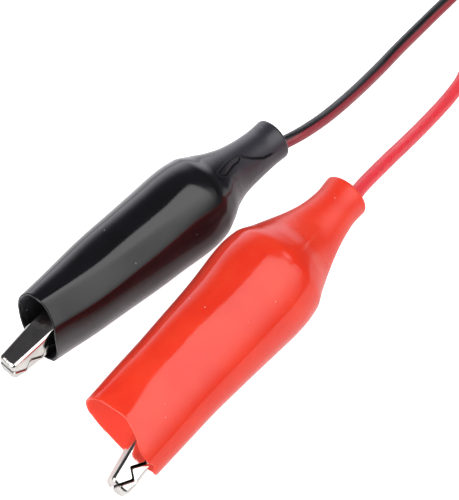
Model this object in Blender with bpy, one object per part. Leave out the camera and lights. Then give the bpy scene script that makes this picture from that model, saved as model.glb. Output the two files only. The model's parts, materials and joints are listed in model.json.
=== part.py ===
"""Alligator clip test lead: two booted clips on a split red and black twin flex with a DC barrel plug.

Blender works in metres. The dimensions below are in millimetres, and MM turns them into metres where a
mesh is made. Each clip is modelled in its own frame, with +X out of the jaws, +Y along the rivet and +Z
to the thumb lever's side, and an empty then lays the clip on the table, which is Z = 0.
"""

import math

import bpy
from mathutils import Matrix, Vector

MM = 0.001
GAP = 0.3

# The two clips on the table: the clip frame's place, its heading, how far its nose dips and its roll. The
# seat is how far forward and how high the metal sits in its boot, as x and z, and neck_exit is where the
# lead leaves the neck, as y and z.
CLIPS = {
    "black": {
        "place": (-2.40, 8.97, 6.43),
        "heading": 178.3,
        "nose_dip": 2.1,
        "roll": 0.0,
        "seat": (0.0, 0.6),
        "neck_exit": (0.5, -0.95),
        "boot_scale": 1.0,
        "lead_radius": 0.9,
        "boot_colour": (0.012, 0.012, 0.014),
        "lead_colour": (0.02, 0.018, 0.02),
    },
    "red": {
        "place": (-5.05, -7.49, 5.81),
        "heading": 184.2,
        "nose_dip": 4.0,
        "roll": 60.0,
        "seat": (0.6, -0.35),
        "neck_exit": (-0.3, -0.8),
        "boot_scale": 1.068,
        "lead_radius": 0.95,
        "boot_colour": (0.85, 0.045, 0.02),
        "lead_colour": (0.80, 0.03, 0.05),
    },
}

# Boot: a dipped PVC sleeve. Each row is x, half height and half width of its section.
BOOT_SECTIONS = (
    (14.0, 5.75, 3.65),
    (7.0, 5.85, 4.60),
    (0.0, 6.10, 5.20),
    (-6.0, 6.50, 5.55),
    (-11.0, 6.82, 5.88),
    (-13.2, 6.62, 5.72),
    (-15.2, 5.75, 5.00),
    (-17.4, 4.85, 3.80),
    (-19.6, 3.95, 3.08),
    (-21.5, 3.32, 2.88),
    (-23.2, 3.02, 2.85),
    (-27.0, 2.95, 2.85),
)
BOOT_WALL = 0.55
BOOT_SIDES = 32
BOOT_RINGS = 24
NECK_END = BOOT_SECTIONS[-1][0]
MOUTH = BOOT_SECTIONS[0][0]

# Jaws: two stamped channels that share a rivet. Each row is x and a value there.
SHEET = 0.5
BEND_RADIUS = 0.55
PIVOT = (-4.0, 0.6)
TIP = 19.8
TIP_WALL = 0.5
UPPER_TOP = (
    (TIP, -2.00), (19.2, -1.65), (14.0, -0.60), (8.0, 0.75), (2.0, 2.35),
    (-4.0, 3.10), (-8.0, 3.60), (-12.8, 5.00),
)
UPPER_EDGE = ((7.4, -1.60), (1.5, -0.35), (-2.2, -0.5), (-4.0, -1.0), (-5.8, -0.4), (-8.0, 1.9), (-12.8, 4.1))
UPPER_HALF_WIDTH = (
    (TIP, 1.05), (19.0, 1.36), (14.0, 1.72), (8.0, 2.10),
    (2.0, 2.20), (-4.0, 2.20), (-8.0, 2.25), (-12.8, 2.10),
)
LOWER_BOTTOM = (
    (TIP, -4.40), (19.2, -4.75), (14.0, -4.35), (8.0, -4.05), (2.0, -3.70),
    (-4.0, -3.35), (-10.0, -2.50), (-16.0, -1.45),
)
LOWER_EDGE = (
    (7.4, -2.70), (2.5, -1.2), (-1.4, 0.9), (-4.0, 2.1),
    (-6.6, 0.9), (-9.4, -0.7), (-13.0, -0.6), (-16.0, 0.4),
)
LOWER_HALF_WIDTH = (
    (TIP, 1.05), (19.0, 1.36), (14.0, 1.72), (8.0, 2.40), (2.0, 3.00),
    (-4.0, 3.10), (-10.0, 2.80), (-16.0, 1.45),
)
# The bite is a saw-toothed line that falls towards the tip: a long flank, then a steep one.
BITE = ((8.0, -2.45), (TIP, -3.65))
TEETH = 4
TOOTH_PITCH = 2.6
TOOTH_STEEP = 0.85
TOOTH_HEIGHT = 1.0
FIRST_TOOTH = 18.0

CRIMP_RADIUS = 1.45
CRIMP_BORE = 0.95
CRIMP_SPAN = (-21.4, -15.6)
RIVET_RADIUS = 0.7
RIVET_HEAD = 1.25
RIVET_HEAD_DEPTH = 0.45
RIVET_HOLE = RIVET_RADIUS + GAP
SPRING_WIRE = 0.25
SPRING_COIL = 1.45
SPRING_TURNS = 3
SPRING_HALF_WIDTH = 1.05
STRAND_RADIUS = 0.2
STRAND_RING = 0.34
STRANDS = 6
CONDUCTOR_SPAN = (-21.9, -15.0)

# Free flex, in millimetres on the table. The legs' routes run from the boots' necks to the split, the twin's
# from the split to the coil, and the tail's from the top of the coil to the plug.
LEAD_START = -22.3
FLEX_THICKNESS = 1.8
FLEX_WIDTH = 3.6
BLACK_LEG_ROUTE = (
    (28.23, 6.95, 6.07), (33.08, 7.05, 4.98), (37.73, 7.66, 3.76), (42.93, 8.56, 2.44),
    (48.43, 9.53, 1.37), (53.83, 10.31, 0.95), (61.63, 10.96, 0.92), (67.2, 11.4, 0.92),
    (72.2, 12.2, 0.92),
)
RED_LEG_ROUTE = (
    (27.33, -5.19, 6.7), (34.03, -3.99, 5.14), (38.33, -3.19, 3.87), (42.93, -2.29, 2.56),
    (47.43, -1.43, 1.54), (51.43, -0.71, 1.05), (55.4, 0.25, 0.97), (60.2, 2.6, 0.97),
    (65.6, 6.1, 0.97), (72.3, 9.95, 0.97),
)
TWIN_ROUTE = ((73.0, 11.1, 0.92), (76.3, 12.6, 0.92), (79.9, 14.05, 0.92))
ROUTE_STEP = 4.0
TAIL_ROUTE = (
    (95.8, 15.7, 7.35), (100.0, 15.6, 7.35), (104.0, 15.1, 7.3), (108.3, 14.25, 6.7),
    (112.0, 13.4, 5.3), (114.7, 13.0, 4.55),
)
COIL_CENTRE = (94.0, -3.3)
COIL_RADIUS = 19.0
COIL_TURNS = 3
COIL_PITCH = 1.8
COIL_BASE = 0.75
TIE_THICKNESS = 0.45
TIE_WIDTH = 2.4

# Plug: a 5.5 x 2.1 mm barrel plug whose moulding tapers onto the flex. Lengths run along +X from the entry.
PLUG_ENTRY = (115.0, 13.0)
PLUG_RADIUS = 4.5
RELIEF_LENGTH = 9.0
OVERMOULD_LENGTH = 30.0
BARREL_LENGTH = 9.5
BARREL_RADIUS = 2.75
BARREL_WALL = 0.35
INSULATOR_WALL = 0.45
CONTACT_RADIUS = 1.35
CONTACT_BORE = 1.05


def remove_all_objects():
    for obj in list(bpy.data.objects):
        bpy.data.objects.remove(obj, do_unlink=True)


def finish(name, colour, roughness, metallic=0.0):
    """A Principled material with this finish."""
    material = bpy.data.materials.new(name)
    material.use_nodes = True
    shader = material.node_tree.nodes["Principled BSDF"]
    shader.inputs["Base Color"].default_value = (*colour, 1.0)
    shader.inputs["Roughness"].default_value = roughness
    shader.inputs["Metallic"].default_value = metallic
    material.diffuse_color = (*colour, 1.0)
    return material


def reading(rows, x):
    """The value at x of a smooth line through the rows, which never swings past a row's own value."""
    rows = sorted(rows)
    if x <= rows[0][0]:
        return rows[0][1]
    if x >= rows[-1][0]:
        return rows[-1][1]
    steps = [(b[1] - a[1]) / (b[0] - a[0]) for a, b in zip(rows, rows[1:])]
    slopes = [steps[0]]
    for before, after in zip(steps, steps[1:]):
        slopes.append(2 * before * after / (before + after) if before * after > 0 else 0.0)
    slopes.append(steps[-1])
    i = max(k for k in range(len(rows) - 1) if rows[k][0] <= x)
    (x0, v0), (x1, v1) = rows[i], rows[i + 1]
    span = x1 - x0
    t = (x - x0) / span
    rise = v0 * (1 - 3 * t * t + 2 * t**3) + v1 * (3 * t * t - 2 * t**3)
    return rise + span * (slopes[i] * (t - 2 * t * t + t**3) + slopes[i + 1] * (t**3 - t * t))


def straight(rows, x):
    """The value at x of straight runs between the rows."""
    rows = sorted(rows)
    for (x0, v0), (x1, v1) in zip(rows, rows[1:]):
        if x <= x1:
            return v0 + (v1 - v0) * max(0.0, x - x0) / (x1 - x0)
    return rows[-1][1]


def put_in_scene(name, mesh, material=None, parent=None):
    obj = bpy.data.objects.new(name, mesh)
    bpy.context.scene.collection.objects.link(obj)
    obj.parent = parent
    if material:
        obj.data.materials.append(material)
    return obj


def shade_round(mesh, angle=35.0):
    mesh.shade_smooth()
    mesh.set_sharp_from_angle(angle=math.radians(angle))


def lofted(name, rings, material=None, parent=None):
    """One closed skin over rings of equal length, each a list of millimetre points, capped at both ends."""
    count = len(rings[0])
    points = [Vector(point) * MM for ring in rings for point in ring]
    faces = []
    for i in range(len(rings) - 1):
        for j in range(count):
            k = (j + 1) % count
            faces.append((i * count + j, i * count + k, (i + 1) * count + k, (i + 1) * count + j))
    faces.append(tuple(reversed(range(count))))
    faces.append(tuple(range((len(rings) - 1) * count, len(rings) * count)))
    mesh = bpy.data.meshes.new(name)
    mesh.from_pydata(points, [], faces)
    if signed_volume(mesh) < 0:
        mesh.flip_normals()
    shade_round(mesh)
    return put_in_scene(name, mesh, material, parent)


def signed_volume(mesh):
    mesh.calc_loop_triangles()
    spots = [vertex.co for vertex in mesh.vertices]
    corners = (triangle.vertices for triangle in mesh.loop_triangles)
    return sum(spots[a].dot(spots[b].cross(spots[c])) for a, b, c in corners)


def turned(name, profile, sides, material=None, parent=None):
    """A solid turned about X from (x, radius) pairs that run once round its outline, which is closed."""
    count = len(profile)
    points = []
    for i in range(sides):
        angle = 2 * math.pi * i / sides
        points += [Vector((x, r * math.cos(angle), r * math.sin(angle))) * MM for x, r in profile]
    faces = []
    for i in range(sides):
        near = i * count
        far = (i + 1) % sides * count
        for j in range(count):
            k = (j + 1) % count
            faces.append((near + j, near + k, far + k, far + j))
    mesh = bpy.data.meshes.new(name)
    mesh.from_pydata(points, [], faces)
    if signed_volume(mesh) < 0:
        mesh.flip_normals()
    shade_round(mesh)
    return put_in_scene(name, mesh, material, parent)


def rod(x0, x1, radius, sides=20):
    """The rings of a plain cylinder along X."""
    return [[(x, *polar(radius, 2 * math.pi * i / sides)) for i in range(sides)] for x in (x0, x1)]


def polar(radius, angle):
    return radius * math.cos(angle), radius * math.sin(angle)


def as_guide(obj):
    obj.hide_render = True
    obj.display_type = "WIRE"
    return obj


def cut(obj, cutter):
    modifier = obj.modifiers.new("Cut " + cutter.name, "BOOLEAN")
    modifier.operation = "DIFFERENCE"
    modifier.object = as_guide(cutter)


def join(obj, other):
    modifier = obj.modifiers.new("Join " + other.name, "BOOLEAN")
    modifier.operation = "UNION"
    modifier.object = as_guide(other)


def empty_in(name, parent, place):
    empty = bpy.data.objects.new(name, None)
    bpy.context.scene.collection.objects.link(empty)
    empty.empty_display_size = 3 * MM
    empty.parent = parent
    empty.location = Vector(place) * MM
    return empty


def clip_frame(colour, settings):
    """The empty that lays a clip on the table."""
    empty = empty_in(colour + "_clip_frame", None, settings["place"])
    empty.rotation_euler = [math.radians(settings[turn]) for turn in ("roll", "nose_dip", "heading")]
    return empty


def boot_ring(x, half_height, half_width):
    ring = []
    for i in range(BOOT_SIDES):
        angle = 2 * math.pi * i / BOOT_SIDES
        ring.append((x, half_width * math.cos(angle), half_height * math.sin(angle)))
    return ring


def boot_size(x):
    heights = [(row[0], row[1]) for row in BOOT_SECTIONS]
    widths = [(row[0], row[2]) for row in BOOT_SECTIONS]
    return reading(heights, x), reading(widths, x)


def boot(colour, frame, scale, material):
    """A sleeve with a wide mouth over the jaws, a shoulder over the lever and a neck that grips the lead."""
    stations = [MOUTH + (NECK_END - MOUTH) * i / BOOT_RINGS for i in range(BOOT_RINGS + 1)]
    sleeve = lofted(colour + "_boot", [boot_ring(x, *boot_size(x)) for x in stations], material, frame)
    reach = [MOUTH + 1.0, *stations, NECK_END - 1.0]
    cavity = [boot_ring(x, *(size - BOOT_WALL for size in boot_size(x))) for x in reach]
    cut(sleeve, lofted(colour + "_boot_cavity", cavity, None, frame))
    for part in (sleeve, bpy.data.objects[colour + "_boot_cavity"]):
        part.scale = (scale,) * 3
    return sleeve


def channel_ring(x, half_width, back, edge, bend):
    """A channel's outline at x: its back has rounded bends, and its two edges are free."""
    towards = 1.0 if edge < back else -1.0
    arc = [polar(bend, math.radians(turn)) for turn in (0, 30, 60, 90)]
    right = [(half_width, edge)]
    right += [(half_width - bend + dy, back - towards * (bend - dz)) for dy, dz in arc]
    left = [(-y, z) for y, z in reversed(right)]
    return [(x, y, z) for y, z in right + left]


def tooth_line():
    """The bite's corners as (x, z), from the tip back to where the teeth end."""
    corners = [(TIP, straight(BITE, TIP) + TOOTH_HEIGHT / 2)]
    for i in range(TEETH):
        valley = FIRST_TOOTH - i * TOOTH_PITCH
        corners.append((valley, straight(BITE, valley) - TOOTH_HEIGHT / 2))
        peak = valley - TOOTH_STEEP
        corners.append((peak, straight(BITE, peak) + TOOTH_HEIGHT / 2))
    return corners


def jaw_edge(rows, shift):
    """The free edge of a jaw: the saw teeth, moved by half the closed gap, and then the plain edge."""
    teeth = [(x, z + shift) for x, z in tooth_line()]
    return teeth + [row for row in rows if row[0] < teeth[-1][0] - 0.5]


def jaw_stations(edge):
    """Every x that the channel needs a section at: the corners of its edge, and its ends' curves."""
    stations = {round(x, 3) for x, _ in edge} | {19.5, 19.2, 18.5, 16.5, 14.0, 11.0}
    return sorted(stations, reverse=True)


def jaw(name, backs, edges, widths, shift, material, parent):
    """A stamped channel with teeth at its front. It is a solid bar with the channel's inside cut out."""
    edge = jaw_edge(edges, shift)
    stations = jaw_stations(edge)
    outer = []
    for x in stations:
        back = reading(backs, x)
        half_width = reading(widths, x)
        free = straight(edge, x)
        bend = min(BEND_RADIUS, half_width - 0.3, 0.6 * abs(back - free))
        outer.append(channel_ring(x, half_width, back, free, bend))
    bar = lofted(name, outer, material, parent)
    side = 1.0 if shift > 0 else -1.0
    inner = []
    inside = [x for x in stations if x < TIP - TIP_WALL] + [stations[-1] - 2.0]
    for x in inside:
        back = reading(backs, x) - side * SHEET
        inner.append(channel_ring(x, reading(widths, x) - SHEET, back, straight(edge, x) - side * 2.0, 0.2))
    cut(bar, lofted(name + "_inside", inner, None, parent))
    return bar


def pivot_hole(name, parent):
    rings = [[(PIVOT[0] + y, x, PIVOT[1] + z) for x, y, z in ring] for ring in rod(-5.0, 5.0, RIVET_HOLE)]
    return lofted(name, rings, None, parent)


def shift_to_axis(*objects):
    """The meshes are drawn in the metal's own frame, so they move back by the axis empty's place in it."""
    for obj in objects:
        obj.data.transform(Matrix.Translation((-PIVOT[0] * MM, 0.0, -PIVOT[1] * MM)))


def lower_jaw(colour, frame, material):
    """The fixed jaw: teeth, a deep body with two ears for the rivet, and the crimp barrel behind."""
    bar = jaw(colour + "_lower_jaw", LOWER_BOTTOM, LOWER_EDGE, LOWER_HALF_WIDTH, -GAP / 2, material, frame)
    barrel = lofted(colour + "_crimp_barrel", rod(*CRIMP_SPAN, CRIMP_RADIUS, 24), None, frame)
    join(bar, barrel)
    bore = rod(CRIMP_SPAN[0] - 1, CRIMP_SPAN[1] + 1, CRIMP_BORE + GAP)
    cut(bar, lofted(colour + "_crimp_bore", bore, None, frame))
    cut(bar, pivot_hole(colour + "_lower_hole", frame))
    return bar


def upper_jaw(colour, axis, material):
    """The moving jaw: teeth in front of the rivet and the thumb lever behind it."""
    bar = jaw(colour + "_upper_jaw", UPPER_TOP, UPPER_EDGE, UPPER_HALF_WIDTH, GAP / 2, material, axis)
    cut(bar, pivot_hole(colour + "_upper_hole", axis))
    inside = bpy.data.objects[colour + "_upper_jaw_inside"]
    shift_to_axis(bar, inside, bpy.data.objects[colour + "_upper_hole"])
    return bar


def rivet(colour, frame, material):
    """The pivot rivet, with a domed head outside each ear."""
    ear = reading(LOWER_HALF_WIDTH, PIVOT[0]) + 0.15
    rim = ear + 0.15
    crown = ear + RIVET_HEAD_DEPTH
    half = [(rim, RIVET_HEAD), (crown, RIVET_HEAD * 0.55), (crown + 0.05, 0.0)]
    profile = [(-x, r) for x, r in reversed(half)]
    profile += [(-ear, RIVET_HEAD), (-ear, RIVET_RADIUS), (ear, RIVET_RADIUS), (ear, RIVET_HEAD)]
    profile += half
    rings = []
    for x, r in profile:
        ring = [polar(max(r, 0.05), 2 * math.pi * i / 20) for i in range(20)]
        rings.append([(PIVOT[0] + a, x, PIVOT[1] + b) for a, b in ring])
    return lofted(colour + "_pivot_rivet", rings, material, frame)


def wire(name, points, radius, material, parent=None, resolution=2):
    """A round wire or cord along points in millimetres."""
    curve = bpy.data.curves.new(name, "CURVE")
    curve.dimensions = "3D"
    curve.bevel_depth = radius * MM
    curve.bevel_resolution = resolution
    curve.use_fill_caps = True
    spline = curve.splines.new("POLY")
    spline.points.add(len(points) - 1)
    for spot, point in zip(spline.points, points):
        spot.co = (*(Vector(point) * MM), 1.0)
        spot.radius = 1.0
    spline.use_smooth = True
    return put_in_scene(name, curve, material, parent)


def spring(colour, frame, material):
    """A torsion spring round the rivet. One leg lifts the lever, and the other holds the lower jaw down."""
    turns = SPRING_TURNS + 0.45
    steps = int(turns * 12)
    points = [(-10.4, -SPRING_HALF_WIDTH, 3.2), (-8.0, -SPRING_HALF_WIDTH, 2.6)]
    for i in range(steps + 1):
        angle = math.radians(100) - 2 * math.pi * turns * i / steps
        x, z = polar(SPRING_COIL, angle)
        across = SPRING_HALF_WIDTH * (2 * i / steps - 1)
        points.append((PIVOT[0] + x, across, PIVOT[1] + z))
    points += [(-7.6, SPRING_HALF_WIDTH, -1.6), (-9.8, SPRING_HALF_WIDTH, -1.75)]
    return wire(colour + "_jaw_spring", points, SPRING_WIRE, material, frame, resolution=1)


def conductor(colour, frame, material):
    """The bare end of the lead in the crimp: strands laid round a core, as one twisted bundle."""
    sides = STRANDS * 4
    rings = []
    for i in range(9):
        x = CONDUCTOR_SPAN[0] + (CONDUCTOR_SPAN[1] - CONDUCTOR_SPAN[0]) * i / 8
        twist = i * math.radians(20)
        ring = []
        for j in range(sides):
            angle = 2 * math.pi * j / sides
            radius = STRAND_RING + STRAND_RADIUS * (0.75 + 0.25 * math.cos(STRANDS * angle))
            ring.append((x, *polar(radius, angle + twist)))
        rings.append(ring)
    return lofted(colour + "_conductor", rings, material, frame)


def smooth_route(points, step):
    """Points about a step apart on a smooth curve through a route's own points."""
    spots = [Vector(point) for point in points]
    ends = [2 * spots[0] - spots[1], *spots, 2 * spots[-1] - spots[-2]]
    found = []
    for a, b, c, d in zip(ends, ends[1:], ends[2:], ends[3:]):
        count = max(1, round((c - b).length / step))
        for i in range(count):
            t = i / count
            curve = 2 * b + (c - a) * t + (2 * a - 5 * b + 4 * c - d) * t * t
            found.append((curve + (3 * b - a - 3 * c + d) * t**3) / 2)
    return found + [spots[-1]]


def leg(colour, settings, seat, route, material):
    """A single-core lead, from behind the crimp, through the boot's neck and along the table to the split."""
    bpy.context.view_layer.update()
    crimp = [seat.matrix_world @ (Vector((x, 0.0, 0.0)) * MM) / MM for x in (LEAD_START, LEAD_START - 1.5)]
    neck = Vector((NECK_END * settings["boot_scale"], *settings["neck_exit"])) * MM
    points = smooth_route([*crimp, seat.parent.matrix_world @ neck / MM, *route], ROUTE_STEP)
    return wire(colour + "_lead", points, settings["lead_radius"], material)


def coil(material):
    """The outer shape of the wound flex: a flat ring, as high as its turns."""
    low = COIL_BASE
    high = COIL_BASE + COIL_TURNS * COIL_PITCH
    inner = COIL_RADIUS - FLEX_WIDTH / 2
    outer = COIL_RADIUS + FLEX_WIDTH / 2
    ring = turned("flex_coil", [(low, inner), (high, inner), (high, outer), (low, outer)], 48, material)
    ring.data.transform(Matrix.Rotation(math.radians(-90), 4, "Y"))
    if ring.data.vertices[0].co.z < 0:
        ring.data.transform(Matrix.Rotation(math.pi, 4, "X"))
    ring.location = (COIL_CENTRE[0] * MM, COIL_CENTRE[1] * MM, 0.0)
    return ring


def coil_tie(material):
    """A band round the coil's section, on the side away from the plug."""
    middle = COIL_CENTRE[1] - COIL_RADIUS
    top = COIL_BASE + COIL_TURNS * COIL_PITCH + GAP
    half = FLEX_WIDTH / 2 + GAP
    low = TIE_THICKNESS
    inner = [(middle - half, low), (middle + half, low), (middle + half, top), (middle - half, top)]
    reach = half + TIE_THICKNESS
    high = top + TIE_THICKNESS
    outer = [(middle - reach, 0.0), (middle + reach, 0.0), (middle + reach, high), (middle - reach, high)]
    near = COIL_CENTRE[0] - TIE_WIDTH / 2
    far = COIL_CENTRE[0] + TIE_WIDTH / 2
    band = lofted("coil_tie", [[(x, *spot) for spot in outer] for x in (near, far)], material)
    cut(band, lofted("coil_tie_inside", [[(x, *spot) for spot in inner] for x in (near - 1, far + 1)]))
    return band


def plug(rubber, nickel, plastic, brass):
    """The moulded grip with its tapered strain relief, the barrel, its lining and the centre contact."""
    frame = empty_in("plug_frame", None, (*PLUG_ENTRY, PLUG_RADIUS))
    grip_end = OVERMOULD_LENGTH
    socket = grip_end - 4.0
    outline = [
        (0.0, 2.3), (RELIEF_LENGTH * 0.6, 2.7), (RELIEF_LENGTH, 3.3), (RELIEF_LENGTH + 1.2, 4.2),
        (RELIEF_LENGTH + 2.4, PLUG_RADIUS), (grip_end - 0.8, PLUG_RADIUS), (grip_end, PLUG_RADIUS - 0.8),
        (grip_end, BARREL_RADIUS + GAP), (socket, BARREL_RADIUS + GAP), (socket, 1.3), (2.0, 1.3), (0.0, 2.1),
    ]
    turned("plug_overmould", outline, 28, rubber, frame)
    tip = grip_end + BARREL_LENGTH
    root = socket + GAP
    sleeve = BARREL_RADIUS - BARREL_WALL
    shell = [(root, sleeve), (root, BARREL_RADIUS), (tip, BARREL_RADIUS), (tip, sleeve)]
    turned("plug_barrel", shell, 32, nickel, frame)
    lining = sleeve - GAP / 2
    bore = lining - INSULATOR_WALL
    edge = tip - 0.3
    turned("plug_insulator", [(root, bore), (root, lining), (edge, lining), (edge, bore)], 28, plastic, frame)
    near = grip_end - 3.0
    mouth = tip - 0.8
    contact = [(near, CONTACT_BORE), (near, CONTACT_RADIUS), (mouth, CONTACT_RADIUS), (mouth, CONTACT_BORE)]
    turned("plug_centre_contact", contact, 24, brass, frame)


def clip(colour, settings, route):
    """All the pieces of one clip and its lead. The rivet's axis carries what swings with the thumb lever."""
    frame = clip_frame(colour, settings)
    forward, up = settings["seat"]
    seat = empty_in(colour + "_metal_seat", frame, (forward, 0.0, up))
    axis = empty_in(colour + "_jaw_axis", seat, (PIVOT[0], 0.0, PIVOT[1]))
    nickel = finish(colour + " clip nickel", (0.78, 0.77, 0.75), 0.18, 1.0)
    boot(colour, frame, settings["boot_scale"], finish(colour + " boot vinyl", settings["boot_colour"], 0.22))
    lower_jaw(colour, seat, nickel)
    upper_jaw(colour, axis, nickel)
    rivet(colour, seat, finish(colour + " rivet steel", (0.7, 0.69, 0.67), 0.25, 1.0))
    spring(colour, seat, finish(colour + " spring steel", (0.45, 0.44, 0.42), 0.3, 1.0))
    conductor(colour, seat, finish(colour + " copper", (0.80, 0.42, 0.25), 0.3, 1.0))
    leg(colour, settings, seat, route, finish(colour + " lead vinyl", settings["lead_colour"], 0.35))


def main():
    remove_all_objects()
    for colour, route in (("black", BLACK_LEG_ROUTE), ("red", RED_LEG_ROUTE)):
        clip(colour, CLIPS[colour], route)
    flex = finish("flex vinyl", (0.30, 0.02, 0.03), 0.35)
    wire("twin_flex", smooth_route(TWIN_ROUTE, ROUTE_STEP), FLEX_THICKNESS / 2, flex)
    wire("twin_flex_end", smooth_route(TAIL_ROUTE, ROUTE_STEP), FLEX_THICKNESS / 2, flex)
    coil(flex)
    coil_tie(finish("tie vinyl", (0.03, 0.03, 0.03), 0.4))
    rubber = finish("plug rubber", (0.02, 0.02, 0.02), 0.45)
    nickel = finish("barrel nickel", (0.75, 0.74, 0.72), 0.2, 1.0)
    plastic = finish("plug lining", (0.05, 0.05, 0.05), 0.4)
    brass = finish("contact brass", (0.75, 0.62, 0.35), 0.25, 1.0)
    plug(rubber, nickel, plastic, brass)


main()
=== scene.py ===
"""The finished look of the alligator clip lead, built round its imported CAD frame.

Shapes are drawn in millimetres, in a clip's own frame or on the table, and MM turns them into metres where a
mesh is made. A clip's frame has +X out of the jaws, +Y along the rivet and +Z to the thumb lever's side.
"""

import json
import math

import bpy
import numpy as np
from mathutils import Matrix, Vector

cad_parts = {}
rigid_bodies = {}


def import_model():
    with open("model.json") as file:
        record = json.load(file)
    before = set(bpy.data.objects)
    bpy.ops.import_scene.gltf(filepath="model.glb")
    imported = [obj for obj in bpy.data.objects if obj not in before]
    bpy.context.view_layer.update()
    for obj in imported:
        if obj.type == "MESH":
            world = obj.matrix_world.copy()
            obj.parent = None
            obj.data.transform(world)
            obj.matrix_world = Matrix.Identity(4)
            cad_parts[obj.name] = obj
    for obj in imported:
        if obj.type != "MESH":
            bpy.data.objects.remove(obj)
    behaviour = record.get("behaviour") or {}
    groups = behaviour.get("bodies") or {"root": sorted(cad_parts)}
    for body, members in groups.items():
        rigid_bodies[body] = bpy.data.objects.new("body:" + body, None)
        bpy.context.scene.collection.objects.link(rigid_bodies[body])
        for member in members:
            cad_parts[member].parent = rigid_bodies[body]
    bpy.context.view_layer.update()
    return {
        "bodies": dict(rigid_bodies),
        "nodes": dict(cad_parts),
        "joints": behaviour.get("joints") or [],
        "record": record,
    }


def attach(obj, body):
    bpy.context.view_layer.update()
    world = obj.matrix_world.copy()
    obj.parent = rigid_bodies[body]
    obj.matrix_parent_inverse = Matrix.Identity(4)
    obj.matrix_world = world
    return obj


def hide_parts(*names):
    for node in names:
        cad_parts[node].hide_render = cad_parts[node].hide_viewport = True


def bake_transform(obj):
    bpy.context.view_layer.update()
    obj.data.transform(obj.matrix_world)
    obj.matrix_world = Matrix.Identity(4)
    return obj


MM = 0.001

# Camera: where it looks on the table, its tilt and heading, its distance, and the field it sees there.
CAMERA_TARGET = (11.63, 3.70, 0.0)
CAMERA_ELEVATION = 52.0
CAMERA_HEADING = 43.0
CAMERA_DISTANCE = 270.0
SENSOR = 36.0
LENS = 149.9

# Set: the way to the bright far wall, the room's colour, and how far the floor reaches.
FAR_WALL = (0.669, 0.743, 0.0)
ROOM_COLOUR = (0.93, 0.91, 1.0, 1.0)
WHITE = (1.0, 1.0, 1.0, 1.0)
FLOOR_REACH = 2500.0

# Boot: each row is x, half height and half width of its section.
BOOT_SECTIONS = (
    (14.0, 5.75, 3.65),
    (7.0, 5.85, 4.60),
    (0.0, 6.10, 5.20),
    (-6.0, 6.50, 5.55),
    (-11.0, 6.82, 5.88),
    (-13.2, 6.62, 5.72),
    (-15.2, 5.75, 5.00),
    (-17.4, 4.85, 3.80),
    (-19.6, 4.02, 3.12),
    (-21.5, 3.46, 2.92),
    (-23.4, 3.08, 2.84),
    (-25.2, 2.88, 2.80),
    (-27.0, 2.95, 2.86),
)
MOUTH = BOOT_SECTIONS[0][0]
NECK_END = BOOT_SECTIONS[-1][0]
BOOT_WALL = 0.55
LIP_WALL = 0.28
LIP_TAPER = 5.0
LIP_REACH = 2.5
NECK_FADE = (-14.5, -19.0)
BOOT_RINGS = 260
BOOT_INNER_RINGS = 60
BOOT_SIDES = 200
TABLE_CLEARANCE = 0.02

# Jaws, in the frame of the metal, whose rivet is at PIVOT. Each row is x and a value there.
PIVOT = (-4.0, 0.6)
SHEET = 0.5
EDGE_ROUNDING = 0.06
BEND_RADIUS = 0.55
TIP = 19.8
TIP_ROUNDING = 0.5
UPPER_TOP = (
    (TIP, -2.00), (19.2, -1.88), (14.0, -0.74), (8.0, 0.75), (2.0, 2.35),
    (-4.0, 3.10), (-8.0, 3.60), (-12.8, 5.00),
)
UPPER_EDGE = ((7.4, -1.60), (1.5, -0.35), (-2.2, -0.5), (-4.0, -1.0), (-5.8, -0.4), (-8.0, 1.9), (-12.8, 4.1))
UPPER_HALF_WIDTH = (
    (TIP, 1.36), (19.0, 1.42), (14.0, 1.72), (8.0, 2.10),
    (2.0, 2.20), (-4.0, 2.20), (-8.0, 2.25), (-12.8, 2.10),
)
LOWER_BOTTOM = (
    (TIP, -4.72), (19.2, -4.75), (14.0, -4.35), (8.0, -4.05), (2.0, -3.70),
    (-4.0, -3.35), (-10.0, -2.50), (-16.0, -1.45),
)
LOWER_EDGE = (
    (7.4, -2.70), (2.5, -1.2), (-1.4, 0.9), (-4.0, 2.1),
    (-6.6, 0.9), (-9.4, -0.7), (-13.0, -0.6), (-16.0, 0.4),
)
LOWER_HALF_WIDTH = (
    (TIP, 1.36), (19.0, 1.42), (14.0, 1.72), (8.0, 2.40), (2.0, 3.00),
    (-4.0, 3.10), (-10.0, 2.80), (-16.0, 1.45),
)
BITE = ((8.0, -2.45), (TIP, -3.65))
BITE_GAP = 0.5
TEETH = 4
TOOTH_PITCH = 2.6
TOOTH_STEEP = 0.85
FIRST_TOOTH = 18.0
JAW_STEP = 0.12
TEETH_END = FIRST_TOOTH - (TEETH - 1) * TOOTH_PITCH - TOOTH_STEEP
CRIMP_RADIUS = 1.45
CRIMP_WALL = 0.45
CRIMP_SPAN = (-21.4, -15.6)

# Spring: the radii of its wire and coil, its legs as (x, z), and two heights over the rivet, which are read
# but bend nothing.
SPRING_WIRE = 0.25
SPRING_COIL = 1.45
SPRING_TURNS = 3.45
SPRING_START = 100.0
SPRING_POINTS = 84
SPRING_HALF_WIDTH = 1.05
SPRING_UPPER_LEG = ((-10.4, 3.2), (-9.2, 2.9), (-8.0, 2.6), (-6.2, 2.35))
SPRING_LOWER_LEG = ((-7.6, -1.6), (-9.8, -1.75))
SPRING_BEND = (1.9, 3.0)

# How a boot would bend as its jaw opens: below BEND_START with the fixed jaw, and above BEND_END with the
# moving jaw. Both are in the metal's frame. They are read, but nothing bends the boot.
BEND_START = (0.03, 0.0, 0.171)
BEND_END = (1.037, 0.0, 5.876)

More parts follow.
